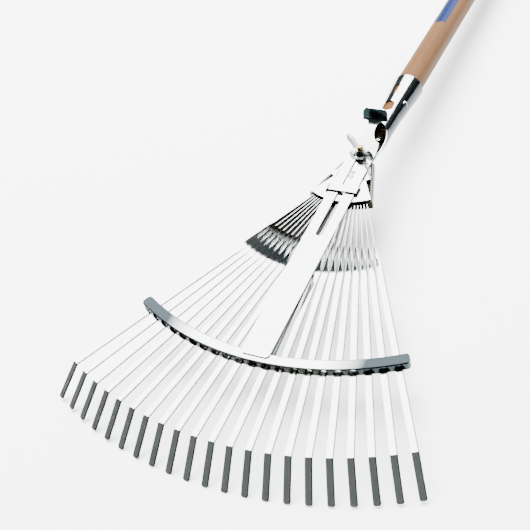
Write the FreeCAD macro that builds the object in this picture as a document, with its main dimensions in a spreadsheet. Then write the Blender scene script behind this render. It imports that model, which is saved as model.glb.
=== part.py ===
"""Adjustable steel leaf rake: a fan of spring tines in a sheet-steel head, a sliding brace that
carries a notched spreader bar, and a wooden handle in the head's rolled socket.

The fan frame has its origin where the lines of the tines meet, X across the rake, Y towards the
handle and Z out of the upper face; the tines lie in its XY plane. The finished rake is tilted so
that it lies on the tips of its tines and the end of its handle, and its origin is the middle of
its footprint on that surface.
"""
import FreeCAD, Part
import math
import os
import Sketcher
from FreeCAD import Placement, Rotation, Vector

os.makedirs("parts", exist_ok=True)
doc = FreeCAD.newDocument("leaf_rake")

# ------------------------------------------------------------------ driving dimensions
DIMENSIONS = {
    # tines: flat spring-steel strips, on edge in the head and turned flat before the bar
    "tine_count": 21, "tine_pitch": 2.75, "tine_width": 6.0, "tine_thick": 0.9,
    "tail_start": 42.0, "pivot_radius": 52.0, "pintle_radius": 0.7, "pintle_low": -4.4,
    "pintle_high": 2.9, "pintle_gap": 0.06,
    "twist_start": 108.0, "twist_end": 160.0, "tine_reach": 333.0,
    "tip_length": 36.5, "tip_angle": 45.0, "tip_bend": 3.0, "tip_corner": 1.2,
    # head: fan-shaped box of folded sheet
    "sheet_thick": 1.2, "head_top": 5.5, "head_floor": -3.6, "floor_thick": 1.0,
    "mouth_radius": 58.0, "mouth_angle": 31.6, "box_half": 16.2, "box_start": -25.2,
    "rail_radius": 1.9, "rail_x": 13.6, "rail_y": 1.0, "rail_end_x": 30.2, "rail_end_y": -51.0,
    "floor_start": -12.0,
    "ear_half": 20.2, "ear_y": -22.6, "neck_half": 13.6, "neck_low": -4.0, "neck_high": 16.0,
    "window_half": 14.7, "window_high": -15.5, "window_low": -26.4,
    # socket rolled from the same sheet
    "rim_y": 146.0, "rim_z": -13.33, "rim_radius": 16.4, "throat_y": 61.0, "throat_radius": 12.1,
    "belly_y": 88.0, "belly_radius": 12.7,
    "hole_x": -1.4, "hole_y": 90.5, "hole_width": 11.2, "hole_length": 16.6,
    "socket_slot_y": 121.0, "socket_slot_x": -2.9, "socket_slot_width": 4.4,
    "socket_slot_length": 15.0, "screw_y": 104.0, "screw_radius": 1.8, "screw_head": 3.6,
    # handle
    "handle_radius": 14.25, "handle_length": 1240.0, "handle_tilt": 5.1, "handle_front": 84.0,
    "handle_end_round": 9.0, "socket_gap": 0.15, "handle_bare": 1.0,
    "label_start": 120.0, "label_length": 64.0, "label_thick": 0.06, "label_wrap": 180.0,
    "label_turn": -160.0,
    # brace: slotted strip from the spreader bar to the thumb tab
    "brace_half": 13.2, "brace_under": 5.8, "brace_thick": 1.2, "brace_foot": -249.5,
    "foot_corner": 2.5, "ramp_start": 15.0, "ramp_end": 38.0, "ramp_rise": 10.6,
    "shoulder_y": 23.0, "waist_y": 34.0, "waist_half": 4.9, "flare_y": 44.0, "tab_y": 51.0,
    "tab_half": 12.8, "tab_top": 28.0, "tab_lean": 3.0, "tab_round": 5.5, "slot_width": 6.6,
    "slot_low": -107.0, "slot_high": 10.6, "rib_foot": -243.4, "rib_head": -108.0,
    "rib_deep": 4.0, "rib_shallow": 0.6, "slide_travel": 31.0,
    # spreader bar: curved channel, one notch for each tine
    "bar_outer": 255.0, "bar_inner": 244.0, "bar_thick": 1.0, "bar_low": -1.1, "bar_fold": 1.8,
    "bar_half_angle": 29.8, "bar_corner": 4.0, "notch_width": 9.0, "notch_top": 5.2,
    "notch_round": 4.2, "back_notch_top": 1.8, "back_notch_round": 0.8, "strip_thick": 0.8,
    # fasteners
    "bolt_y": 7.0, "bolt_radius": 3.0, "bolt_end": 18.6, "bolt_head": 6.5, "bolt_head_high": 2.2,
    "washer_radius": 7.3, "washer_low": 7.3, "washer_high": 8.9, "nut_low": 9.2,
    "nut_high": 15.4, "nut_radius": 5.6, "nut_gap": 0.05, "wing_reach": 21.4, "wing_top": 22.5,
    "wing_thick": 3.2, "wing_turn": -38.0,
    "keeper_half": 16.4, "keeper_width": 8.5, "keeper_y": -43.0, "keeper_low": 7.5,
    "keeper_thick": 1.2, "keeper_bend": 3.0,
}
dims = doc.addObject("Spreadsheet::Sheet", "Dims")
for row, (alias, number) in enumerate(DIMENSIONS.items(), start=1):
    dims.set("A%d" % row, alias)
    dims.set("B%d" % row, str(number))
    dims.setAlias("B%d" % row, alias)
doc.recompute()


class Size:
    """A size as an expression in the sheet's cells, with its present value."""

    def __init__(self, text, number):
        self.text = text
        self.number = number

    def joined(self, sign, other, number):
        return Size("(%s %s %s)" % (self.text, sign, as_size(other).text), number)

    def __add__(self, other):
        return self.joined("+", other, self.number + as_size(other).number)

    def __sub__(self, other):
        return self.joined("-", other, self.number - as_size(other).number)

    def __mul__(self, other):
        return self.joined("*", other, self.number * as_size(other).number)

    def __truediv__(self, other):
        return self.joined("/", other, self.number / as_size(other).number)

    def __neg__(self):
        return Size("(0 - %s)" % self.text, -self.number)

    def __float__(self):
        return self.number


def as_size(item):
    return item if isinstance(item, Size) else Size("(%.6f)" % item, float(item))


def size(alias):
    """The size held in one cell of the sheet."""
    return Size("Dims." + alias, float(getattr(dims, alias)))


def dim(alias):
    """The present value of one cell of the sheet."""
    return float(getattr(dims, alias))


# ------------------------------------------------------------------ placing and registering
fan_frames = []


def placed(piece, frame=Placement()):
    """Register a finished sub-part with its place in the fan frame."""
    fan_frames.append((piece, frame))
    return piece


def part_feature(label, shape, frame=Placement()):
    feature = doc.addObject("Part::Feature", label)
    feature.Label = label
    feature.Shape = shape
    return placed(feature, frame)


# ------------------------------------------------------------------ sketch and feature helpers
def new_body(label):
    body = doc.addObject("PartDesign::Body", label)
    body.Label = label
    return body


def new_sketch(body, role, name, offset=Placement()):
    plane = next(item for item in body.Origin.OriginFeatures if item.Role == role)
    sketch = body.newObject("Sketcher::SketchObject", name)
    sketch.AttachmentSupport = [(plane, "")]
    sketch.MapMode = "FlatFace"
    sketch.AttachmentOffset = offset
    return sketch


def bind(sketch, constraint, expression):
    number = sketch.addConstraint(constraint)
    sketch.setExpression("Constraints[%d]" % number, expression.text)


def outline(body, role, name, corners, offset=Placement()):
    """A closed outline of straight lines; each corner is a pair of sizes."""
    sketch = new_sketch(body, role, name, offset)
    corners = [(as_size(across), as_size(up)) for across, up in corners]
    points = [Vector(across.number, up.number, 0) for across, up in corners]
    for index, point in enumerate(points):
        sketch.addGeometry(Part.LineSegment(point, points[(index + 1) % len(points)]), False)
    for index in range(len(points)):
        after = (index + 1) % len(points)
        sketch.addConstraint(Sketcher.Constraint("Coincident", index, 2, after, 1))
    for index, (across, up) in enumerate(corners):
        bind(sketch, Sketcher.Constraint("DistanceX", -1, 1, index, 1, across.number), across)
        bind(sketch, Sketcher.Constraint("DistanceY", -1, 1, index, 1, up.number), up)
    return sketch


def circle(body, role, name, across, up, radius, offset=Placement()):
    """A circle whose centre and radius are sizes."""
    sketch = new_sketch(body, role, name, offset)
    across, up, radius = as_size(across), as_size(up), as_size(radius)
    centre = Vector(across.number, up.number, 0)
    sketch.addGeometry(Part.Circle(centre, Vector(0, 0, 1), radius.number), False)
    bind(sketch, Sketcher.Constraint("DistanceX", -1, 1, 0, 3, across.number), across)
    bind(sketch, Sketcher.Constraint("DistanceY", -1, 1, 0, 3, up.number), up)
    bind(sketch, Sketcher.Constraint("Radius", 0, radius.number), radius)
    return sketch


def drawn(body, role, name, curves, offset=Placement()):
    """A closed outline of given curves, for rounded profiles."""
    sketch = new_sketch(body, role, name, offset)
    sketch.addGeometry(curves, False)
    return sketch


def pad(body, sketch, length, name, midplane=False, reverse=False):
    feature = body.newObject("PartDesign::Pad", name)
    feature.Profile = sketch
    feature.setExpression("Length", as_size(length).text)
    feature.Midplane = midplane
    feature.Reversed = reverse
    return feature


def pocket(body, sketch, length, name, midplane=True, reverse=False):
    """Cut the outline through the body, and stop if nothing is removed."""
    doc.recompute()
    before = body.Shape.Volume
    feature = body.newObject("PartDesign::Pocket", name)
    feature.Profile = sketch
    feature.setExpression("Length", as_size(length).text)
    feature.Midplane = midplane
    feature.Reversed = reverse
    doc.recompute()
    if body.Shape.Volume > before - 0.01:
        raise RuntimeError("%s removes nothing from %s" % (name, body.Label))
    return feature


def revolution(body, sketch, name, axis="V_Axis", angle=360.0, midplane=False):
    feature = body.newObject("PartDesign::Revolution", name)
    feature.Profile = sketch
    feature.ReferenceAxis = (sketch, [axis])
    feature.Angle = angle
    feature.Midplane = midplane
    return feature


def lifted(height):
    return Placement(Vector(0, 0, height), Rotation())


THROUGH = 400.0
PUNCH = 20.0
CLEAR = 1.0


# ------------------------------------------------------------------ how the fan opens
TINES = int(dim("tine_count"))
MIDDLE = (TINES - 1) // 2
travel = dim("slide_travel")


def fan_angle(index):
    """Angle of a tine from the centre line at rest, in degrees."""
    return (index - MIDDLE) * dim("tine_pitch")


def fan_point(radius, angle, height=0.0):
    turn = math.radians(angle)
    return Vector(radius * math.sin(turn), -radius * math.cos(turn), height)


def spread_per_mm(index):
    """Degrees that a tine turns for each millimetre the bar slides towards the head."""
    bar_middle = (dim("bar_outer") + dim("bar_inner")) / 2
    pivot = fan_point(dim("pivot_radius"), fan_angle(index))
    notch = fan_point(bar_middle, fan_angle(index)) + Vector(0, travel, 0)
    spread = math.degrees(math.atan2(notch.x - pivot.x, pivot.y - notch.y))
    return (spread - fan_angle(index)) / travel


def crossing(index, radius, slide):
    """Angle, seen from the bar's centre, where a tine crosses an arc of the bar."""
    start = fan_point(dim("pivot_radius"), fan_angle(index)) - Vector(0, slide, 0)
    way = fan_point(1.0, fan_angle(index) + spread_per_mm(index) * slide)
    along = -start.dot(way) + math.sqrt(start.dot(way) ** 2 - start.dot(start) + radius ** 2)
    point = start + way * along
    return math.degrees(math.atan2(point.x, -point.y))


def notch_pitch(radius):
    """Even pitch that centres the outermost notch on its tine's travel across the bar."""
    steps = 8
    angles = [crossing(TINES - 1, radius, travel * step / steps) for step in range(steps + 1)]
    return (min(angles) + max(angles)) / 2 / MIDDLE


# ------------------------------------------------------------------ tines
TWIST_SECTIONS = 6


def make_tine(index):
    """Tail on edge with its pintle, quarter twist, flat spring and bent tip."""
    label = "tine_%02d" % (index + 1)
    body = new_body(label)
    half_width, half_thick = size("tine_width") / 2, size("tine_thick") / 2
    tail = outline(body, "YZ_Plane", label + "_tail_outline", [
        (-size("tail_start"), half_width), (-size("twist_start"), half_width),
        (-size("twist_start"), -half_width), (-size("tail_start"), -half_width)])
    pad(body, tail, size("tine_thick"), label + "_tail", midplane=True)
    pintle = circle(body, "XY_Plane", label + "_pintle_outline", 0.0, -size("pivot_radius"),
                    size("pintle_radius"), lifted(dim("pintle_low")))
    pad(body, pintle, size("pintle_high") - size("pintle_low"), label + "_pintle")
    sections = []
    for step in range(TWIST_SECTIONS):
        part_way = step / (TWIST_SECTIONS - 1.0)
        reach = dim("twist_start") + part_way * (dim("twist_end") - dim("twist_start"))
        turned = Placement(Vector(0, 0, reach), Rotation(Vector(0, 0, 1), 90.0 * part_way))
        sections.append(outline(body, "XZ_Plane", "%s_section_%d" % (label, step), [
            (-half_thick, -half_width), (half_thick, -half_width),
            (half_thick, half_width), (-half_thick, half_width)], turned))
    twist = body.newObject("PartDesign::AdditiveLoft", label + "_twist")
    twist.Profile = sections[0]
    twist.Sections = sections[1:]
    flat = drawn(body, "YZ_Plane", label + "_flat_outline", flat_side())
    pad(body, flat, size("tine_width"), label + "_flat", midplane=True)
    doc.recompute()
    add_tip_corners(body, label)
    return placed(body, Placement(Vector(), Rotation(Vector(0, 0, 1), fan_angle(index))))


def flat_side():
    """Side view of the flat stretch: straight strip, round bend and straight tip."""
    half = dim("tine_thick") / 2
    angle = math.radians(dim("tip_angle"))
    setback = dim("tip_bend") * math.tan(angle / 2)
    centre = Vector(setback - dim("tine_reach"), -dim("tip_bend"), 0)
    tip = Vector(-math.cos(angle), -math.sin(angle), 0) * (dim("tip_length") - setback)
    normal = Vector(0, 0, 1)
    sides = []
    for radius in (dim("tip_bend") + half, dim("tip_bend") - half):
        top = centre + Vector(0, radius, 0)
        turned = centre + Vector(-math.sin(angle), math.cos(angle), 0) * radius
        bend = Part.ArcOfCircle(Part.Circle(centre, normal, radius), math.pi / 2,
                                math.pi / 2 + angle)
        sides.append((Vector(-dim("twist_end"), top.y, 0), top, bend, turned, turned + tip))
    (up_start, up_top, up_bend, up_turned, up_end), lower = sides
    low_start, low_top, low_bend, low_turned, low_end = lower
    return [Part.LineSegment(up_start, up_top), up_bend, Part.LineSegment(up_turned, up_end),
            Part.LineSegment(up_end, low_end), Part.LineSegment(low_end, low_turned), low_bend,
            Part.LineSegment(low_top, low_start), Part.LineSegment(low_start, up_start)]


def add_tip_corners(body, label):
    """Take the two sharp corners off the end of the tip."""
    far = dim("tine_reach") + (dim("tip_length") - 1.0) * math.cos(math.radians(dim("tip_angle")))
    short = dim("tine_thick") * 1.1
    edges = ["Edge%d" % number for number, edge in enumerate(body.Shape.Edges, start=1)
             if edge.Length < short and edge.CenterOfMass.y < -far]
    uncut = body.Tip
    corners = body.newObject("PartDesign::Chamfer", label + "_corners")
    corners.Base = (uncut, edges)
    corners.setExpression("Size", size("tip_corner").text)


# ------------------------------------------------------------------ spreader bar
def make_spreader_bar():
    """Curved channel with its open side down and an arched notch in both walls for each tine."""
    body = new_body("spreader_bar")
    angle = dim("bar_half_angle") * 2
    profile = drawn(body, "YZ_Plane", "bar_section", channel_section())
    revolution(body, profile, "bar_channel", angle=angle, midplane=True)
    round_bar_ends(body, "bar_end")
    for wall, radius in (("front", dim("bar_outer")), ("back", dim("bar_inner"))):
        add_notches(body, wall, radius)
    return placed(body)


def round_bar_ends(body, name):
    """Take the four corners off the plan of a curved strip with round cuts."""
    bend, angle, beyond = dim("bar_corner"), dim("bar_half_angle"), CLEAR
    for side in (-1, 1):
        for edge, inward in ((dim("bar_outer"), -1), (dim("bar_inner"), 1)):
            step = math.degrees(bend / edge)
            middle = fan_point(edge + inward * bend, side * (angle - step))
            on_edge = fan_point(edge, side * (angle - step))
            on_end = fan_point(edge + inward * bend, side * angle)
            diagonal = (on_edge - middle) + (on_end - middle)
            diagonal.normalize()
            corner = fan_point(edge - inward * beyond, side * (angle + math.degrees(beyond / edge)))
            beside_edge = fan_point(edge - inward * beyond, side * (angle - step))
            beside_end = fan_point(edge + inward * bend,
                                   side * (angle + math.degrees(beyond / edge)))
            curves = [Part.Arc(on_edge, middle + diagonal * bend, on_end),
                      Part.LineSegment(on_end, beside_end), Part.LineSegment(beside_end, corner),
                      Part.LineSegment(corner, beside_edge),
                      Part.LineSegment(beside_edge, on_edge)]
            label = "%s_%s_%s" % (name, "right" if side > 0 else "left",
                                  "front" if inward < 0 else "back")
            sketch = drawn(body, "XY_Plane", label + "_outline", curves)
            pocket(body, sketch, THROUGH, label)


def channel_section():
    """Half-open section with rounded folds, drawn from its outer wall to its inner wall."""
    top, low, thick, fold = dim("brace_under"), dim("bar_low"), dim("bar_thick"), dim("bar_fold")
    outer, inner = -dim("bar_outer"), -dim("bar_inner")
    inside = fold - thick
    normal = Vector(0, 0, 1)
    right, left = Vector(inner - fold, top - fold, 0), Vector(outer + fold, top - fold, 0)
    quarter = math.pi / 2

    def fold_arc(centre, radius, start):
        return Part.ArcOfCircle(Part.Circle(centre, normal, radius), start, start + quarter)

    def line(y0, z0, y1, z1):
        return Part.LineSegment(Vector(y0, z0, 0), Vector(y1, z1, 0))

    return [line(outer, low, outer, top - fold), fold_arc(left, fold, quarter),
            line(outer + fold, top, inner - fold, top), fold_arc(right, fold, 0.0),
            line(inner, top - fold, inner, low), line(inner, low, inner - thick, low),
            line(inner - thick, low, inner - thick, top - fold), fold_arc(right, inside, 0.0),
            line(inner - fold, top - thick, outer + fold, top - thick),
            fold_arc(left, inside, quarter), line(outer + thick, top - fold, outer + thick, low),
            line(outer + thick, low, outer, low)]


NOTCH_INSET = 1.5
NOTCH_DEPTH = 6.0


def add_notches(body, wall, radius):
    """One arched notch cut along the radius through a wall, and its copies round the arc."""
    pitch = notch_pitch(radius)
    first = math.radians(-pitch * MIDDLE)
    middle = radius - NOTCH_INSET if wall == "front" else radius + NOTCH_INSET
    offset = Placement(Vector(middle * math.sin(first), 0, middle * math.cos(first)),
                       Rotation(Vector(0, 1, 0), math.degrees(first)))
    prefix = "notch" if wall == "front" else "back_notch"
    high, bend = dim(prefix + "_top"), dim(prefix + "_round")
    half, low = dim("notch_width") / 2, dim("bar_low") - CLEAR
    normal = Vector(0, 0, 1)
    arcs = [Part.ArcOfCircle(Part.Circle(Vector(side * (half - bend), high - bend, 0), normal,
                                         bend), start, start + math.pi / 2)
            for side, start in ((1, 0.0), (-1, math.pi / 2))]
    curves = [Part.LineSegment(Vector(-half, low, 0), Vector(half, low, 0)),
              Part.LineSegment(Vector(half, low, 0), Vector(half, high - bend, 0)), arcs[0],
              Part.LineSegment(Vector(half - bend, high, 0), Vector(bend - half, high, 0)),
              arcs[1],
              Part.LineSegment(Vector(-half, high - bend, 0), Vector(-half, low, 0))]
    sketch = drawn(body, "XZ_Plane", wall + "_notch_outline", curves, offset)
    notch = pocket(body, sketch, NOTCH_DEPTH, wall + "_notch")
    pattern = body.newObject("PartDesign::PolarPattern", wall + "_notches")
    pattern.Originals = [notch]
    pattern.Axis = (body.Origin.OriginFeatures[2], [""])
    pattern.Angle = pitch * (TINES - 1)
    pattern.setExpression("Occurrences", "Dims.tine_count")
    body.Tip = pattern


def make_closing_strip():
    """Flat curved strip under the channel that keeps the tines in their notches."""
    body = new_body("bar_closing_strip")
    low, outer, inner = size("bar_low"), -size("bar_outer"), -size("bar_inner")
    profile = outline(body, "YZ_Plane", "strip_section", [
        (outer, low - size("strip_thick")), (inner, low - size("strip_thick")),
        (inner, low), (outer, low)])
    revolution(body, profile, "strip", angle=dim("bar_half_angle") * 2, midplane=True)
    round_bar_ends(body, "strip_end")
    return placed(body)


# ------------------------------------------------------------------ brace
WAIST_BOW = 0.3
TAB_BEYOND = 4.0


def make_brace():
    """Strip with a long slot, side ribs at its foot, a raised neck and an upright thumb tab."""
    body = new_body("centre_brace")
    thick, under = size("brace_thick"), size("brace_under")
    foot, start, end = size("brace_foot"), size("ramp_start"), size("ramp_end")
    high, back = under + size("ramp_rise"), size("tab_y")
    side = outline(body, "YZ_Plane", "brace_side", [
        (foot, under), (start, under), (end, high), (back + thick, high),
        (back + thick + size("tab_lean"), size("tab_top")),
        (back + size("tab_lean"), size("tab_top")), (back, high + thick),
        (end - thick / 2, high + thick), (start - thick / 2, under + thick),
        (foot, under + thick)])
    pad(body, side, size("brace_half") * 2, "brace_strip", midplane=True)
    wide = size("brace_half") + CLEAR
    for name, sign in (("left", -1.0), ("right", 1.0)):
        edge, corner = size("brace_half") * sign, size("foot_corner") * sign
        clip = outline(body, "XY_Plane", name + "_foot_corner", [
            (edge - corner, foot - CLEAR), (edge - corner, foot),
            (edge, foot + size("foot_corner")), (wide * sign, foot + size("foot_corner")),
            (wide * sign, foot - CLEAR)])
        pocket(body, clip, THROUGH, name + "_foot_clip")
        waist = drawn(body, "XY_Plane", name + "_waist_outline", waist_curves(sign))
        pocket(body, waist, THROUGH, name + "_waist")
        rib = outline(body, "YZ_Plane", name + "_rib_outline", [
            (size("rib_foot"), under), (size("rib_foot"), under - size("rib_deep")),
            (size("rib_head"), under - size("rib_shallow")), (size("rib_head"), under)],
            lifted(dim("brace_half") * sign))
        pad(body, rib, thick, name + "_rib", reverse=sign > 0)
    half, low, top = size("slot_width") / 2, size("slot_low"), size("slot_high")
    slot = slotted(body, "brace_slot_outline", half, low, top)
    pocket(body, slot, THROUGH, "brace_slot")
    tab = drawn(body, "XZ_Plane", "tab_corners", tab_corner_curves(),
                Placement(Vector(0, 0, -dim("tab_y") - dim("tab_lean")), Rotation()))
    pocket(body, tab, size("tab_lean") * 4, "tab_rounding")
    return placed(body)


def slotted(body, name, half, low, high):
    """Long slot along Y with round ends; low and high are its end points."""
    sketch = new_sketch(body, "XY_Plane", name)
    bottom = Vector(0, low.number + half.number, 0)
    top = Vector(0, high.number - half.number, 0)
    side = Vector(half.number, 0, 0)
    normal = Vector(0, 0, 1)
    sketch.addGeometry([
        Part.ArcOfCircle(Part.Circle(top, normal, half.number), 0.0, math.pi),
        Part.LineSegment(top - side, bottom - side),
        Part.ArcOfCircle(Part.Circle(bottom, normal, half.number), math.pi, 2 * math.pi),
        Part.LineSegment(bottom + side, top + side)], False)
    return sketch


def waist_curves(sign):
    """What is taken from one side of the strip: round shoulder, narrow waist and flare."""
    half, waist, tab = dim("brace_half"), dim("waist_half"), dim("tab_half")
    beside = half + 2.0

    def at(across, along):
        return Vector(sign * across, along, 0)

    shoulder, narrow = at(half + 0.01, dim("shoulder_y")), at(waist, dim("waist_y"))
    flare, edge = at(waist, dim("flare_y")), at(tab, dim("tab_y") - CLEAR)
    beyond = dim("tab_y") + dim("tab_lean") + 3.0
    shoulder_bow = at(waist + (half - waist) * WAIST_BOW,
                      (dim("shoulder_y") + dim("waist_y")) / 2 - CLEAR)
    flare_bow = at(waist + (tab - waist) * WAIST_BOW,
                   (dim("flare_y") + dim("tab_y")) / 2 + CLEAR)
    return [Part.Arc(shoulder, shoulder_bow, narrow), Part.LineSegment(narrow, flare),
            Part.Arc(flare, flare_bow, edge), Part.LineSegment(edge, at(tab, beyond)),
            Part.LineSegment(at(tab, beyond), at(beside, beyond)),
            Part.LineSegment(at(beside, beyond), at(beside, dim("shoulder_y"))),
            Part.LineSegment(at(beside, dim("shoulder_y")), shoulder)]


def tab_corner_curves():
    """The two round corners at the top of the thumb tab."""
    curves = []
    bend, top, half = dim("tab_round"), dim("tab_top"), dim("tab_half")
    normal = Vector(0, 0, 1)
    for sign, start in ((1, 0.0), (-1, math.pi / 2)):
        centre = Vector(sign * (half - bend), top - bend, 0)
        arc = Part.ArcOfCircle(Part.Circle(centre, normal, bend), start, start + math.pi / 2)
        side, crown = Vector(sign * half, top - bend, 0), Vector(sign * (half - bend), top, 0)
        beside = Vector(sign * (half + TAB_BEYOND), top - bend, 0)
        above = crown + Vector(0, TAB_BEYOND, 0)
        corner = Vector(sign * (half + TAB_BEYOND), top + TAB_BEYOND, 0)
        curves += [arc, Part.LineSegment(side, beside), Part.LineSegment(beside, corner),
                   Part.LineSegment(corner, above), Part.LineSegment(above, crown)]
    return curves


# ------------------------------------------------------------------ head
SHEET_PUNCH = 4.0
NECK_TOP_FLARE = 0.9
NECK_STEPS = ((0.0, 8.0), (0.0, 0.0), (1.2, -6.5), (3.2, -11.5))
EAR_HIGH = 3.8


def head_corners(sign):
    """Corners of one side of the head plate, from its neck to its mouth."""
    mouth = fan_point(dim("mouth_radius"), dim("mouth_angle"))
    waist, ear = size("neck_half"), size("ear_half")
    neck = [((waist + across) * sign, size("neck_low") + along) for across, along in NECK_STEPS]
    return [((waist + NECK_TOP_FLARE) * sign, size("neck_high"))] + neck + [
            (ear * sign, size("ear_y") + EAR_HIGH),
            (ear * sign, size("ear_y")),
            (size("box_half") * sign, size("box_start")),
            (as_size(sign * mouth.x), as_size(mouth.y))]


def fan_outline(body, name, right, radius, height):
    """Outline with given right-hand corners, their mirror image and an arc across the mouth."""
    sketch = new_sketch(body, "XY_Plane", name, lifted(height))
    points = [Vector(x.number, y.number, 0) for x, y in right]
    mirrored = [Vector(-point.x, point.y, 0) for point in points]
    mouth = Part.Arc(points[-1], Vector(0, -radius, 0), mirrored[-1])
    chain = list(reversed(mirrored)) + points
    sketch.addGeometry([Part.LineSegment(chain[index], chain[index + 1])
                        for index in range(len(chain) - 1)] + [mouth], False)
    return sketch


def make_head_plate():
    """Upper sheet of the head with its window, bolt hole and slots for the keeper."""
    body = new_body("head_plate")
    thick = size("sheet_thick")
    corners = head_corners(1.0)
    plate = fan_outline(body, "plate_outline", corners, dim("mouth_radius"),
                        dim("head_top") - dim("sheet_thick"))
    pad(body, plate, thick, "plate")
    half = size("window_half")
    window = outline(body, "XY_Plane", "window_outline", [
        (-half, size("window_low")), (half, size("window_low")),
        (half, size("window_high")), (-half, size("window_high"))], lifted(dim("head_top")))
    pocket(body, window, SHEET_PUNCH, "window")
    hole = circle(body, "XY_Plane", "bolt_hole_outline", 0.0, size("bolt_y"),
                  size("bolt_radius"), lifted(dim("head_top")))
    pocket(body, hole, SHEET_PUNCH, "bolt_hole")
    half_keeper, thick_keeper = size("keeper_half"), size("keeper_thick")
    half_width = size("keeper_width") / 2
    for name, sign in (("left", -1.0), ("right", 1.0)):
        leg = outline(body, "XY_Plane", name + "_keeper_slot_outline", [
            (half_keeper * sign, size("keeper_y") - half_width),
            ((half_keeper - thick_keeper) * sign, size("keeper_y") - half_width),
            ((half_keeper - thick_keeper) * sign, size("keeper_y") + half_width),
            (half_keeper * sign, size("keeper_y") + half_width)], lifted(dim("head_top")))
        pocket(body, leg, SHEET_PUNCH, name + "_keeper_slot")
    return placed(body)


def make_bottom_plate():
    """Lower sheet that carries the tines' pintles, with both sides rolled up into round rails."""
    body = new_body("head_bottom_plate")
    slope = (dim("rail_end_x") - dim("rail_x")) / (dim("rail_y") - dim("rail_end_y"))
    floor_x = dim("rail_x") + slope * (dim("rail_y") - dim("floor_start"))
    corners = [(as_size(floor_x), size("floor_start")), (size("rail_end_x"), size("rail_end_y"))]
    plate = fan_outline(body, "floor_outline", corners, dim("mouth_radius"),
                        dim("head_floor") - dim("floor_thick"))
    pad(body, plate, size("floor_thick"), "floor")
    for name, sign in (("left", -1), ("right", 1)):
        add_rail(body, name, sign)
    first = fan_point(dim("pivot_radius"), fan_angle(0))
    seat = circle(body, "XY_Plane", "pintle_hole_outline", first.x, first.y,
                  size("pintle_radius") + size("pintle_gap"))
    hole = pocket(body, seat, THROUGH, "pintle_hole")
    pattern = body.newObject("PartDesign::PolarPattern", "pintle_holes")
    pattern.Originals = [hole]
    pattern.Axis = (body.Origin.OriginFeatures[2], [""])
    pattern.Angle = dim("tine_pitch") * (TINES - 1)
    pattern.setExpression("Occurrences", "Dims.tine_count")
    body.Tip = pattern
    return placed(body)


def add_rail(body, name, sign):
    """Upright side of the box with a round top, from the neck to the mouth."""
    across, along = dim("rail_end_x") - dim("rail_x"), dim("rail_y") - dim("rail_end_y")
    offset = Placement(Vector(sign * dim("rail_x"), 0, -dim("rail_y")),
                       Rotation(Vector(0, 1, 0), sign * math.degrees(math.atan2(across, along))))
    radius, low = dim("rail_radius"), dim("head_floor") - dim("floor_thick")
    shoulder = dim("head_top") - dim("sheet_thick") - radius
    dome = Part.ArcOfCircle(Part.Circle(Vector(0, shoulder, 0), Vector(0, 0, 1), radius),
                            0.0, math.pi)
    curves = [Part.LineSegment(Vector(-radius, low, 0), Vector(radius, low, 0)),
              Part.LineSegment(Vector(radius, low, 0), Vector(radius, shoulder, 0)), dome,
              Part.LineSegment(Vector(-radius, shoulder, 0), Vector(-radius, low, 0))]
    profile = drawn(body, "XZ_Plane", name + "_rail_section", curves, offset)
    pad(body, profile, math.hypot(across, along), name + "_rail")


def handle_frame():
    """Frame whose Z axis runs along the handle away from the head, from the socket's rim."""
    tilt = Rotation(Vector(1, 0, 0), -90.0 - dim("handle_tilt"))
    return Placement(Vector(0, dim("rim_y"), dim("rim_z")), tilt)


def axis_height(y):
    """Height of the handle's axis over the tines' plane."""
    return dim("rim_z") - (y - dim("rim_y")) * math.tan(math.radians(dim("handle_tilt")))


def band_section(y, centre_z, radius, half_angle):
    """Open ring of sheet, split at its top; half_angle is measured from its lowest point."""
    def at(reach, angle):
        return Vector(reach * math.sin(angle), y, centre_z - reach * math.cos(angle))

    inner, turn = radius - dim("sheet_thick"), math.radians(half_angle)
    outer_arc = Part.Arc(at(radius, -turn), at(radius, 0), at(radius, turn)).toShape()
    inner_arc = Part.Arc(at(inner, turn), at(inner, 0), at(inner, -turn)).toShape()
    return Part.Wire([outer_arc, Part.makeLine(at(radius, turn), at(inner, turn)), inner_arc,
                      Part.makeLine(at(inner, -turn), at(radius, -turn))])


def trough_section(y, half, edge_z, low_z):
    """Open trough through its two edges and its lowest point."""
    deep = edge_z - low_z
    radius = (half ** 2 + deep ** 2) / (2 * deep)
    centre_z = low_z + radius
    half_angle = math.degrees(math.atan2(half, centre_z - edge_z))
    return band_section(y, centre_z, radius, half_angle)


SEAM_HALF_ANGLE = 172.0
OPENED_Y = 52.0
OPENED_HALF_ANGLE = 118.0
OPENED_EXTRA = 0.2
# along the rake, half width, height of both edges, height of the lowest point
TROUGH = ((38.0, 12.4, -3.0, -15.24), (18.0, 12.8, 0.5, -9.6), (-2.0, 13.4, 3.6, -5.8),
          (-20.0, 15.0, 4.2, -4.6))


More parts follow.
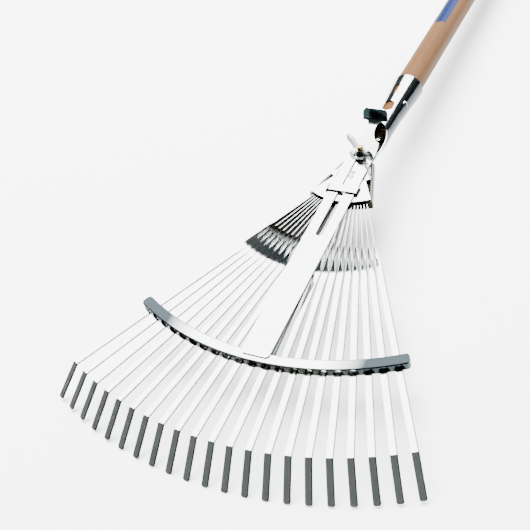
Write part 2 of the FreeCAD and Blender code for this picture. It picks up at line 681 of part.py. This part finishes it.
def make_socket():
    """Rolled cone round the handle that opens into a trough and runs out under the head."""
    rim, belly, throat = dim("rim_y"), dim("belly_y"), dim("throat_y")
    radii = ((rim, dim("rim_radius")), (belly, dim("belly_radius")), (throat, dim("throat_radius")))
    rings = []
    for inset in (0.0, dim("sheet_thick")):
        wires = [Part.Wire(Part.makeCircle(radius - inset, Vector(0, y, axis_height(y)),
                                           Vector(0, 1, 0))) for y, radius in radii]
        rings.append(Part.makeLoft(wires, True, True))
    tube = rings[0].cut(rings[1])
    sections = [
        band_section(throat, axis_height(throat), dim("throat_radius"), SEAM_HALF_ANGLE),
        band_section(OPENED_Y, axis_height(OPENED_Y), dim("throat_radius") + OPENED_EXTRA,
                     OPENED_HALF_ANGLE)]
    sections += [trough_section(*station) for station in TROUGH]
    trough = Part.makeLoft(sections, True, False)
    shape = tube.fuse(trough)
    shape = shape.cut(long_hole(dim("hole_x"), dim("hole_y"), dim("hole_width"),
                                dim("hole_length")))
    shape = shape.cut(long_hole(dim("socket_slot_x"), dim("socket_slot_y"),
                                dim("socket_slot_width"), dim("socket_slot_length")))
    shape = shape.cut(screw_shape(dim("screw_radius"), 0.0))
    return part_feature("head_socket", shape.removeSplitter())


def long_hole(x, y, width, length):
    """Round-ended punch along Y, from the socket's axis upwards."""
    half, reach, low = width / 2, (length - width) / 2, axis_height(y)
    punch = Part.makeBox(width, 2 * reach, PUNCH, Vector(x - half, y - reach, low))
    for end in (-reach, reach):
        punch = punch.fuse(Part.makeCylinder(half, PUNCH, Vector(x, y + end, low)))
    return punch


SCREW_ANGLE = math.radians(28.0)
SCREW_START = 3.2
SCREW_OVERLAP = 0.2
CAP_ROUND = 1.35
CAP_CUT = 0.9


def screw_shape(radius, head):
    """Round screw on the right of the socket, pointing at the handle's axis."""
    y = dim("screw_y")
    surface = dim("belly_radius") + (y - dim("belly_y")) / (dim("rim_y") - dim("belly_y")) * (
        dim("rim_radius") - dim("belly_radius"))
    way = Vector(math.cos(SCREW_ANGLE), 0, math.sin(SCREW_ANGLE))
    centre = Vector(0, y, axis_height(y))
    length = surface - SCREW_START + SCREW_OVERLAP
    shank = Part.makeCylinder(radius, length, centre + way * SCREW_START, way)
    if not head:
        return shank
    ball, cut = head * CAP_ROUND, head * CAP_CUT
    cap = Part.makeSphere(ball)
    cap = cap.common(Part.makeBox(2 * ball, 2 * ball, ball, Vector(-ball, -ball, cut)))
    cap.translate(Vector(0, 0, -cut))
    turn = Rotation(Vector(0, 0, 1), way)
    cap.Placement = Placement(centre + way * surface, turn).multiply(cap.Placement)
    return shank.fuse(cap)


FRONT_EASE = 1.2
BARE_STEP = 0.15


def make_handle():
    """Turned wooden handle: long taper in the socket and a rounded far end."""
    body = new_body("handle_shaft")
    radius, bend = dim("handle_radius"), dim("handle_end_round")
    front = dim("handle_front") - dim("rim_y")
    far = front + dim("handle_length")
    wall = dim("sheet_thick") + dim("socket_gap")
    taper = (dim("rim_radius") - dim("belly_radius")) / (dim("rim_y") - dim("belly_y"))
    rim_seat = dim("rim_radius") - wall
    nearly = radius - BARE_STEP
    centre = Vector(radius - bend, far - bend, 0)
    points = [Vector(0, front, 0), Vector(rim_seat + taper * front - FRONT_EASE, front, 0),
              Vector(rim_seat + taper * (front + FRONT_EASE), front + FRONT_EASE, 0),
              Vector(nearly, (nearly - rim_seat) / taper, 0),
              Vector(radius, dim("handle_bare"), 0), Vector(radius, far - bend, 0)]
    curves = [Part.LineSegment(start, end) for start, end in zip(points, points[1:])]
    curves.append(Part.ArcOfCircle(Part.Circle(centre, Vector(0, 0, 1), bend), 0.0, math.pi / 2))
    curves.append(Part.LineSegment(Vector(radius - bend, far, 0), Vector(0, far, 0)))
    curves.append(Part.LineSegment(Vector(0, far, 0), points[0]))
    profile = drawn(body, "XZ_Plane", "handle_profile", curves)
    revolution(body, profile, "handle_turned")
    return placed(body, handle_frame())


def make_label():
    """Plain label stuck half way round the handle."""
    body = new_body("handle_label")
    inner, start = size("handle_radius"), size("label_start")
    outer, end = inner + size("label_thick"), start + size("label_length")
    profile = outline(body, "XZ_Plane", "label_section", [
        (inner, start), (outer, start), (outer, end), (inner, end)])
    revolution(body, profile, "label_band", angle=dim("label_wrap"), midplane=True)
    turned = Placement(Vector(), Rotation(Vector(0, 0, 1), dim("label_turn")))
    return placed(body, handle_frame().multiply(turned))


# ------------------------------------------------------------------ fasteners
def make_keeper():
    """Staple across the brace, its two legs held in slots of the head plate."""
    body = new_body("keeper_strap")
    half, low, thick = dim("keeper_half"), dim("head_top") - dim("sheet_thick"), dim("keeper_thick")
    top, bend = dim("keeper_low") + thick, dim("keeper_bend")
    normal = Vector(0, 0, 1)

    def corner(sign, radius):
        centre = Vector(sign * (half - bend), top - bend, 0)
        start = 0.0 if sign > 0 else math.pi / 2
        return Part.ArcOfCircle(Part.Circle(centre, normal, radius), start, start + math.pi / 2)

    def line(x0, z0, x1, z1):
        return Part.LineSegment(Vector(x0, z0, 0), Vector(x1, z1, 0))

    inside = half - thick
    curves = [line(half, low, half, top - bend), corner(1, bend),
              line(half - bend, top, bend - half, top), corner(-1, bend),
              line(-half, top - bend, -half, low), line(-half, low, -inside, low),
              line(-inside, low, -inside, top - bend), corner(-1, bend - thick),
              line(bend - half, top - thick, half - bend, top - thick), corner(1, bend - thick),
              line(inside, top - bend, inside, low), line(inside, low, half, low)]
    profile = drawn(body, "XZ_Plane", "keeper_side", curves,
                    Placement(Vector(0, 0, -dim("keeper_y")), Rotation()))
    pad(body, profile, size("keeper_width"), "keeper", midplane=True)
    return placed(body)


BOLT_CHAMFER = 0.6


def make_bolt():
    """Carriage bolt: domed head under the head plate and a plain shank."""
    body = new_body("carriage_bolt")
    under = dim("head_top") - dim("sheet_thick")
    head, high = dim("bolt_head"), dim("bolt_head_high")
    radius = (head ** 2 + high ** 2) / (2 * high)
    spread = math.asin(head / radius)
    centre = Vector(0, under - high + radius, 0)
    start = -math.pi / 2
    shank, end = dim("bolt_radius"), dim("bolt_end")
    curves = [Part.ArcOfCircle(Part.Circle(centre, Vector(0, 0, 1), radius), start, start + spread),
              Part.LineSegment(Vector(head, under, 0), Vector(shank, under, 0)),
              Part.LineSegment(Vector(shank, under, 0), Vector(shank, end - BOLT_CHAMFER, 0)),
              Part.LineSegment(Vector(shank, end - BOLT_CHAMFER, 0),
                               Vector(shank - BOLT_CHAMFER, end, 0)),
              Part.LineSegment(Vector(shank - BOLT_CHAMFER, end, 0), Vector(0, end, 0)),
              Part.LineSegment(Vector(0, end, 0), Vector(0, under - high, 0))]
    profile = drawn(body, "XZ_Plane", "bolt_profile", curves)
    revolution(body, profile, "bolt_turned")
    return placed(body, Placement(Vector(0, dim("bolt_y"), 0), Rotation()))


WASHER_RIM = 0.5
WASHER_CROWN = 0.72


def make_washer():
    """Domed washer that fits the bolt."""
    body = new_body("washer")
    hole, outer = size("bolt_radius"), size("washer_radius")
    low, high = size("washer_low"), size("washer_high")
    profile = outline(body, "XZ_Plane", "washer_section", [
        (hole, low), (outer, low), (outer, low + WASHER_RIM), (outer * WASHER_CROWN, high),
        (hole, high)])
    revolution(body, profile, "washer_turned")
    return placed(body, Placement(Vector(0, dim("bolt_y"), 0), Rotation()))


HUB_TAPER = 0.9
WING_ROOT = 0.6
WING_START = 0.8
WING_RISE = 1.6
WING_STEP = 2.0
WING_LEAN = 1.6
WING_DEEP = 8.4
WING_CROWN = 7.0
WING_SHOULDER = 1.2
WING_BULGE = 0.9
WING_BULGE_DROP = 3.4


def make_wing_nut():
    """Hub with a running bore and two upswept wings."""
    body = new_body("wing_nut")
    low, high, hub = size("nut_low"), size("nut_high"), size("nut_radius")
    bore = size("bolt_radius") + size("nut_gap")
    profile = outline(body, "XZ_Plane", "hub_section", [
        (bore, low), (hub, low), (hub - HUB_TAPER, high), (bore, high)])
    revolution(body, profile, "hub")
    reach, crown, start = dim("wing_reach"), dim("wing_top"), dim("nut_low") + WING_START
    for name, sign in (("left", -1), ("right", 1)):
        root = bore.number + WING_ROOT
        points = [Vector(sign * root, start, 0),
                  Vector(sign * (hub.number + WING_STEP), start + WING_RISE, 0),
                  Vector(sign * reach, crown - WING_DEEP, 0),
                  Vector(sign * (reach - WING_LEAN), crown, 0),
                  Vector(sign * (reach - WING_CROWN), crown - WING_SHOULDER, 0),
                  Vector(sign * root, high.number, 0)]
        bulge = Vector(sign * (reach + WING_BULGE), crown - WING_BULGE_DROP, 0)
        tip = Part.Arc(points[2], bulge, points[3])
        curves = [Part.LineSegment(points[0], points[1]), Part.LineSegment(points[1], points[2]),
                  tip, Part.LineSegment(points[3], points[4]),
                  Part.LineSegment(points[4], points[5]), Part.LineSegment(points[5], points[0])]
        sketch = drawn(body, "XZ_Plane", name + "_wing_outline", curves)
        pad(body, sketch, size("wing_thick"), name + "_wing", midplane=True)
    return placed(body, Placement(Vector(0, dim("bolt_y"), 0),
                                  Rotation(Vector(0, 0, 1), dim("wing_turn"))))


# ------------------------------------------------------------------ the assembly
for tine_number in range(TINES):
    make_tine(tine_number)
make_spreader_bar()
make_closing_strip()
make_brace()
make_head_plate()
make_bottom_plate()
make_socket()
make_handle()
make_label()
make_keeper()
make_bolt()
make_washer()
make_wing_nut()
part_feature("socket_screw", screw_shape(dim("screw_radius"), dim("screw_head")))
doc.recompute()

# ------------------------------------------------------------------ lay the rake down
angle = math.radians(dim("tip_angle"))
tip_y = -dim("tine_reach") - dim("tip_length") * math.cos(angle)
tip_z = -dim("tip_length") * math.sin(angle) - dim("tine_thick") / 2 * math.cos(angle)
tilt = math.radians(dim("handle_tilt"))
far = dim("handle_front") - dim("rim_y") + dim("handle_length") - dim("handle_end_round")
end_y = dim("rim_y") + far * math.cos(tilt)
end_z = dim("rim_z") - far * math.sin(tilt) - dim("handle_radius")
lean = math.degrees(math.atan2(tip_z - end_z, end_y - tip_y))
turned = Placement(Vector(), Rotation(Vector(1, 0, 0), lean))
for piece, frame in fan_frames:
    piece.Placement = turned.multiply(frame)
doc.recompute()
boxes = [piece.Shape.optimalBoundingBox(True, False) for piece, _ in fan_frames]
shift = Vector(-(min(box.XMin for box in boxes) + max(box.XMax for box in boxes)) / 2,
               -(min(box.YMin for box in boxes) + max(box.YMax for box in boxes)) / 2,
               -min(box.ZMin for box in boxes))
for piece, frame in fan_frames:
    piece.Placement = Placement(shift, turned.Rotation).multiply(frame)
doc.recompute()

for item in doc.Objects:
    if "Invalid" in item.State or "Error" in item.State:
        raise RuntimeError("%s failed to build: %s" % (item.Label, item.State))
for piece, _ in fan_frames:
    if piece.Shape.isNull() or not piece.Shape.isValid():
        raise RuntimeError("%s has no valid shape" % piece.Label)
for piece, _ in fan_frames:
    piece.Shape.exportStep("parts/%s.step" % piece.Label)
print("lean %.4f degrees, shift %.3f %.3f %.3f" % (lean, shift.x, shift.y, shift.z))
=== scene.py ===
"""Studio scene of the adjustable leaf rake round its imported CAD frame. Metres, Z up."""
import math

import bpy
from mathutils import Euler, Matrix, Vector

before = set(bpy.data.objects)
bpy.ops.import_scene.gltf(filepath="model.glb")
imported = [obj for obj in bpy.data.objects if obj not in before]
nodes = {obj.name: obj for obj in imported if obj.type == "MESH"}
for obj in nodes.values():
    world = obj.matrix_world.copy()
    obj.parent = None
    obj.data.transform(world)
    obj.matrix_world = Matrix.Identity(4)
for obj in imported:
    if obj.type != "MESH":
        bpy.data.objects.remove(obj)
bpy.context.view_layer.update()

# ------------------------------------------------------------------ the view
CAMERA_PLACE = (0.32206, -1.17327, 0.62051)
CAMERA_TURN = (47.5202, 9.5008, 24.9087)
CAMERA_LENS = 65.23


def add_camera():
    data = bpy.data.cameras.new("studio_camera")
    data.lens = CAMERA_LENS
    data.sensor_width = 36.0
    data.clip_start = 0.05
    data.clip_end = 30.0
    camera = bpy.data.objects.new("studio_camera", data)
    camera.location = CAMERA_PLACE
    camera.rotation_euler = Euler([math.radians(turn) for turn in CAMERA_TURN], "XYZ")
    bpy.context.scene.collection.objects.link(camera)
    bpy.context.scene.camera = camera


# ------------------------------------------------------------------ node helpers
class Shader:
    """A material's node tree with short ways to add nodes."""

    def __init__(self, name):
        self.material = bpy.data.materials.new(name)
        self.material.use_nodes = True
        self.tree = self.material.node_tree
        self.surface = self.tree.nodes["Principled BSDF"]
        self.place = self.add("ShaderNodeTexCoord").outputs["Object"]

    def add(self, kind, **settings):
        node = self.tree.nodes.new(kind)
        for key, setting in settings.items():
            setattr(node, key, setting)
        return node

    def link(self, start, end):
        self.tree.links.new(start, end)

    def constant(self, **values):
        for key, setting in values.items():
            self.surface.inputs[key.replace("_", " ")].default_value = setting

    def stretched(self, scale):
        mapping = self.add("ShaderNodeMapping")
        mapping.inputs["Scale"].default_value = scale
        self.link(self.place, mapping.inputs["Vector"])
        return mapping.outputs["Vector"]

    def noise(self, place, scale, detail=4.0, roughness=0.55):
        node = self.add("ShaderNodeTexNoise")
        node.inputs["Scale"].default_value = scale
        node.inputs["Detail"].default_value = detail
        node.inputs["Roughness"].default_value = roughness
        self.link(place, node.inputs["Vector"])
        return node.outputs["Fac"]

    def ramp(self, factor, stops):
        node = self.add("ShaderNodeValToRGB")
        elements = node.color_ramp.elements
        while len(elements) < len(stops):
            elements.new(0.5)
        for element, (place, colour) in zip(elements, stops):
            element.position = place
            element.color = (*colour, 1.0)
        self.link(factor, node.inputs["Fac"])
        return node.outputs["Color"]

    def span(self, factor, low, high, start=0.0, end=1.0):
        node = self.add("ShaderNodeMapRange")
        node.inputs["From Min"].default_value = start
        node.inputs["From Max"].default_value = end
        node.inputs["To Min"].default_value = low
        node.inputs["To Max"].default_value = high
        self.link(factor, node.inputs["Value"])
        return node.outputs["Result"]

    def facing_up(self):
        """How far the true surface faces up or down: 1 for flat, 0 for upright."""
        split = self.add("ShaderNodeSeparateXYZ")
        self.link(self.add("ShaderNodeNewGeometry").outputs["True Normal"],
                  split.inputs["Vector"])
        size = self.add("ShaderNodeMath", operation="ABSOLUTE")
        self.link(split.outputs["Z"], size.inputs[0])
        return size.outputs["Value"]

    def mixed(self, factor, low, high):
        node = self.add("ShaderNodeMix", data_type="RGBA")
        self.link(factor, node.inputs["Factor"])
        for slot, colour in ((6, low), (7, high)):
            if isinstance(colour, tuple):
                node.inputs[slot].default_value = (*colour, 1.0)
            else:
                self.link(colour, node.inputs[slot])
        return node.outputs[2]

    def bump(self, height, depth, strength=1.0):
        node = self.add("ShaderNodeBump")
        node.inputs["Strength"].default_value = strength
        node.inputs["Distance"].default_value = depth
        self.link(height, node.inputs["Height"])
        self.link(node.outputs["Normal"], self.surface.inputs["Normal"])


def zinc(name, tint, rough, shade, edge_from=0.45, edge_to=0.9, grain=(40.0, 900.0, 900.0)):
    """Bright zinc plating with rolling lines and cloudy patches, plus painted shade on the upright
    faces (edges and sides), which take the dark shade colour in place of the plating.
    """
    shader = Shader(name)
    shader.constant(Metallic=1.0)
    cloud = shader.noise(shader.place, 38.0, 5.0)
    lines = shader.noise(shader.stretched(grain), 1.0, 3.0)
    pale = tuple(min(1.0, channel * 1.04) for channel in tint)
    dull = tuple(channel * 0.93 for channel in tint)
    plating = shader.ramp(cloud, [(0.3, dull), (0.65, pale)])
    facing = shader.facing_up()
    pale_shade = tuple(channel * 1.3 for channel in shade)
    shadow = shader.ramp(cloud, [(0.35, shade), (0.7, pale_shade)])
    # Painted shade: the more upright a face is, the more it takes the dark shade colour.
    colour = shader.mixed(shader.span(facing, 0.0, 1.0, edge_from, edge_to), shadow, plating)
    shader.link(colour, shader.surface.inputs["Base Color"])
    shader.link(shader.span(lines, rough * 0.7, rough * 1.4, 0.3, 0.7),
                shader.surface.inputs["Roughness"])
    shader.bump(lines, 0.000006, 0.35)
    return shader


def painted_edge_shade(shader, width, shade):
    """Painted shade: a dark line along the rounded edge of each strip that turns towards +X, in
    place of the dark room reflected there.
    """
    bevel = shader.add("ShaderNodeBevel", samples=8)
    bevel.inputs["Radius"].default_value = width
    rolled = shader.add("ShaderNodeVectorMath", operation="SUBTRACT")
    shader.link(bevel.outputs["Normal"], rolled.inputs[0])
    shader.link(shader.add("ShaderNodeNewGeometry").outputs["True Normal"], rolled.inputs[1])
    split = shader.add("ShaderNodeSeparateXYZ")
    shader.link(rolled.outputs["Vector"], split.inputs["Vector"])
    socket = shader.surface.inputs["Base Color"]
    plating = socket.links[0].from_socket
    # Painted shade on the edge that turns towards +X.
    side = shader.span(split.outputs["X"], 0.0, 1.0, 0.10, 0.20)
    shader.link(shader.mixed(side, plating, shade), socket)
    return shader


def tinted_ends(shader):
    """Near-black blue-grey base colour on the last stretch of the bar at both ends."""
    split = shader.add("ShaderNodeSeparateXYZ")
    shader.link(shader.place, split.inputs["Vector"])
    out = shader.add("ShaderNodeMath", operation="ABSOLUTE")
    shader.link(split.outputs["X"], out.inputs[0])
    socket = shader.surface.inputs["Base Color"]
    plating = socket.links[0].from_socket
    shader.link(shader.mixed(shader.span(out.outputs["Value"], 0.0, 1.0, 0.058, 0.092),
                             plating, (0.030, 0.040, 0.045)), socket)
    return shader


def wood(name):
    shader = Shader(name)
    along = shader.stretched((46.0, 1.6, 46.0))
    figure = shader.noise(along, 1.6, 6.0, 0.6)
    pores = shader.noise(shader.stretched((900.0, 22.0, 900.0)), 1.0, 3.0)
    shader.link(shader.ramp(figure, [(0.25, (0.052, 0.018, 0.0030)), (0.5, (0.088, 0.037, 0.0080)),
                                     (0.75, (0.115, 0.055, 0.0150))]),
                shader.surface.inputs["Base Color"])
    shader.constant(Roughness=0.6, Specular_IOR_Level=0.2)
    shader.bump(pores, 0.0001, 0.4)
    return shader.material


def plastic(name, tint):
    shader = Shader(name)
    cloud = shader.noise(shader.place, 160.0, 3.0)
    shader.link(shader.ramp(cloud, [(0.3, tuple(channel * 0.9 for channel in tint)),
                                    (0.7, tint)]), shader.surface.inputs["Base Color"])
    shader.constant(Roughness=0.45, Specular_IOR_Level=0.1)
    return shader.material


# ------------------------------------------------------------------ studio
PANEL_GLOW = 9.0
PANEL_SLANT = 0.766
ROOM_FRONT = (0.17, 0.19, 0.172)
ROOM_BACK = (0.045, 0.06, 0.065)


def add_world():
    """Large bright panel behind the rake on the left, in an otherwise dark grey-green room."""
    world = bpy.data.worlds.new("studio")
    bpy.context.scene.world = world
    world.use_nodes = True
    tree = world.node_tree
    split = tree.nodes.new("ShaderNodeSeparateXYZ")
    way = tree.nodes.new("ShaderNodeTexCoord").outputs["Generated"]
    tree.links.new(way, split.inputs["Vector"])
    slanted = tree.nodes.new("ShaderNodeVectorMath")
    slanted.operation = "DOT_PRODUCT"
    tree.links.new(way, slanted.inputs[0])
    slanted.inputs[1].default_value = (1.0, -PANEL_SLANT, 0.0)

    def edge(source, start, end):
        node = tree.nodes.new("ShaderNodeMapRange")
        node.interpolation_type = "SMOOTHSTEP"
        node.inputs["From Min"].default_value = min(start, end)
        node.inputs["From Max"].default_value = max(start, end)
        node.inputs["To Min"].default_value = 0.0 if start < end else 1.0
        node.inputs["To Max"].default_value = 1.0 if start < end else 0.0
        tree.links.new(source, node.inputs["Value"])
        return node.outputs["Result"]

    def times(first, second):
        node = tree.nodes.new("ShaderNodeMath")
        node.operation = "MULTIPLY"
        tree.links.new(first, node.inputs[0])
        tree.links.new(second, node.inputs[1])
        return node.outputs["Value"]

    across, along = split.outputs["X"], split.outputs["Y"]
    panel = times(times(edge(slanted.outputs["Value"], -0.99, -0.94), edge(across, 0.36, 0.30)),
                  edge(along, -0.16, -0.06))
    room = tree.nodes.new("ShaderNodeMix")
    room.data_type = "RGBA"
    tree.links.new(edge(along, -0.5, 0.3), room.inputs["Factor"])
    room.inputs[6].default_value = (*ROOM_FRONT, 1.0)
    room.inputs[7].default_value = (*ROOM_BACK, 1.0)
    light = tree.nodes.new("ShaderNodeMix")
    light.data_type = "RGBA"
    tree.links.new(panel, light.inputs["Factor"])
    tree.links.new(room.outputs[2], light.inputs[6])
    light.inputs[7].default_value = (PANEL_GLOW, PANEL_GLOW, PANEL_GLOW, 1.0)
    background = tree.nodes["Background"]
    tree.links.new(light.outputs[2], background.inputs["Color"])
    background.inputs["Strength"].default_value = 1.0


def add_floor():
    mesh = bpy.data.meshes.new("floor")
    reach = 6.0
    mesh.from_pydata([(-reach, -reach, 0), (reach, -reach, 0), (reach, reach, 0),
                      (-reach, reach, 0)], [], [(0, 1, 2, 3)])
    floor = bpy.data.objects.new("floor", mesh)
    bpy.context.scene.collection.objects.link(floor)
    shader = Shader("floor_white")
    shader.constant(Base_Color=(0.92, 0.92, 0.92, 1.0), Roughness=1.0)
    mesh.materials.append(shader.material)


def add_light(name, place, aim, width, power):
    data = bpy.data.lights.new(name, "AREA")
    data.size = width
    data.energy = power
    light = bpy.data.objects.new(name, data)
    light.location = place
    light.visible_glossy = False
    light.rotation_euler = (Vector(aim) - Vector(place)).to_track_quat("-Z", "Y").to_euler()
    bpy.context.scene.collection.objects.link(light)


def paint(material, *names):
    for name in names:
        for slot in nodes[name].material_slots:
            slot.material = material


# Colour and width of the painted shade line on one edge of each tine.
EDGE_SHADE = (0.0012, 0.0013, 0.0012)
EDGE_SHADE_WIDTH = 0.0020
LABEL_BLUE = (0.0, 0.006, 0.050)
OLIVE_SHADE = (0.022, 0.023, 0.018)
TEAL_SHADE = (0.012, 0.021, 0.023)
# Each material made with zinc() below paints its upright faces in its dark shade colour: painted
# shade for the dark room seen in them.
zinc_bright = zinc("zinc_bright", (0.86, 0.88, 0.88), 0.10, TEAL_SHADE).material
zinc_round = zinc("zinc_round", (0.84, 0.86, 0.86), 0.10, (0.018, 0.024, 0.027), 0.56, 0.92).material
zinc_plain = zinc("zinc_plain", (0.78, 0.80, 0.78), 0.16, (0.045, 0.05, 0.047), 0.3, 0.9).material
zinc_shadow = zinc("zinc_shadow", (0.10, 0.11, 0.09), 0.22, (0.012, 0.013, 0.009)).material
brass = zinc("brass", (0.42, 0.33, 0.14), 0.16, (0.12, 0.09, 0.035), 0.3, 0.9).material
nut_zinc = zinc("nut_zinc", (0.50, 0.53, 0.52), 0.18, (0.016, 0.022, 0.021), 0.35, 0.95).material
steel_spring = painted_edge_shade(zinc("steel_spring", (0.84, 0.86, 0.86), 0.10, OLIVE_SHADE, 0.1, 0.5),
                            EDGE_SHADE_WIDTH, EDGE_SHADE).material
zinc_bar = tinted_ends(zinc("zinc_bar", (0.86, 0.88, 0.88), 0.10, OLIVE_SHADE)).material
for name in nodes:
    paint(steel_spring if name.startswith("tine_") else zinc_bright, name)
paint(wood("beech"), "handle_shaft")
paint(plastic("label_blue", LABEL_BLUE), "handle_label")
paint(zinc_round, "head_socket")
paint(zinc_bar, "spreader_bar")
paint(zinc_shadow, "bar_closing_strip", "head_bottom_plate")
paint(nut_zinc, "wing_nut", "washer")
paint(brass, "carriage_bolt")
paint(zinc_plain, "socket_screw")
add_camera()
add_world()
add_floor()
add_light("key", (-0.9, 0.3, 2.4), (0.0, -0.4, 0.0), 2.2, 470.0)
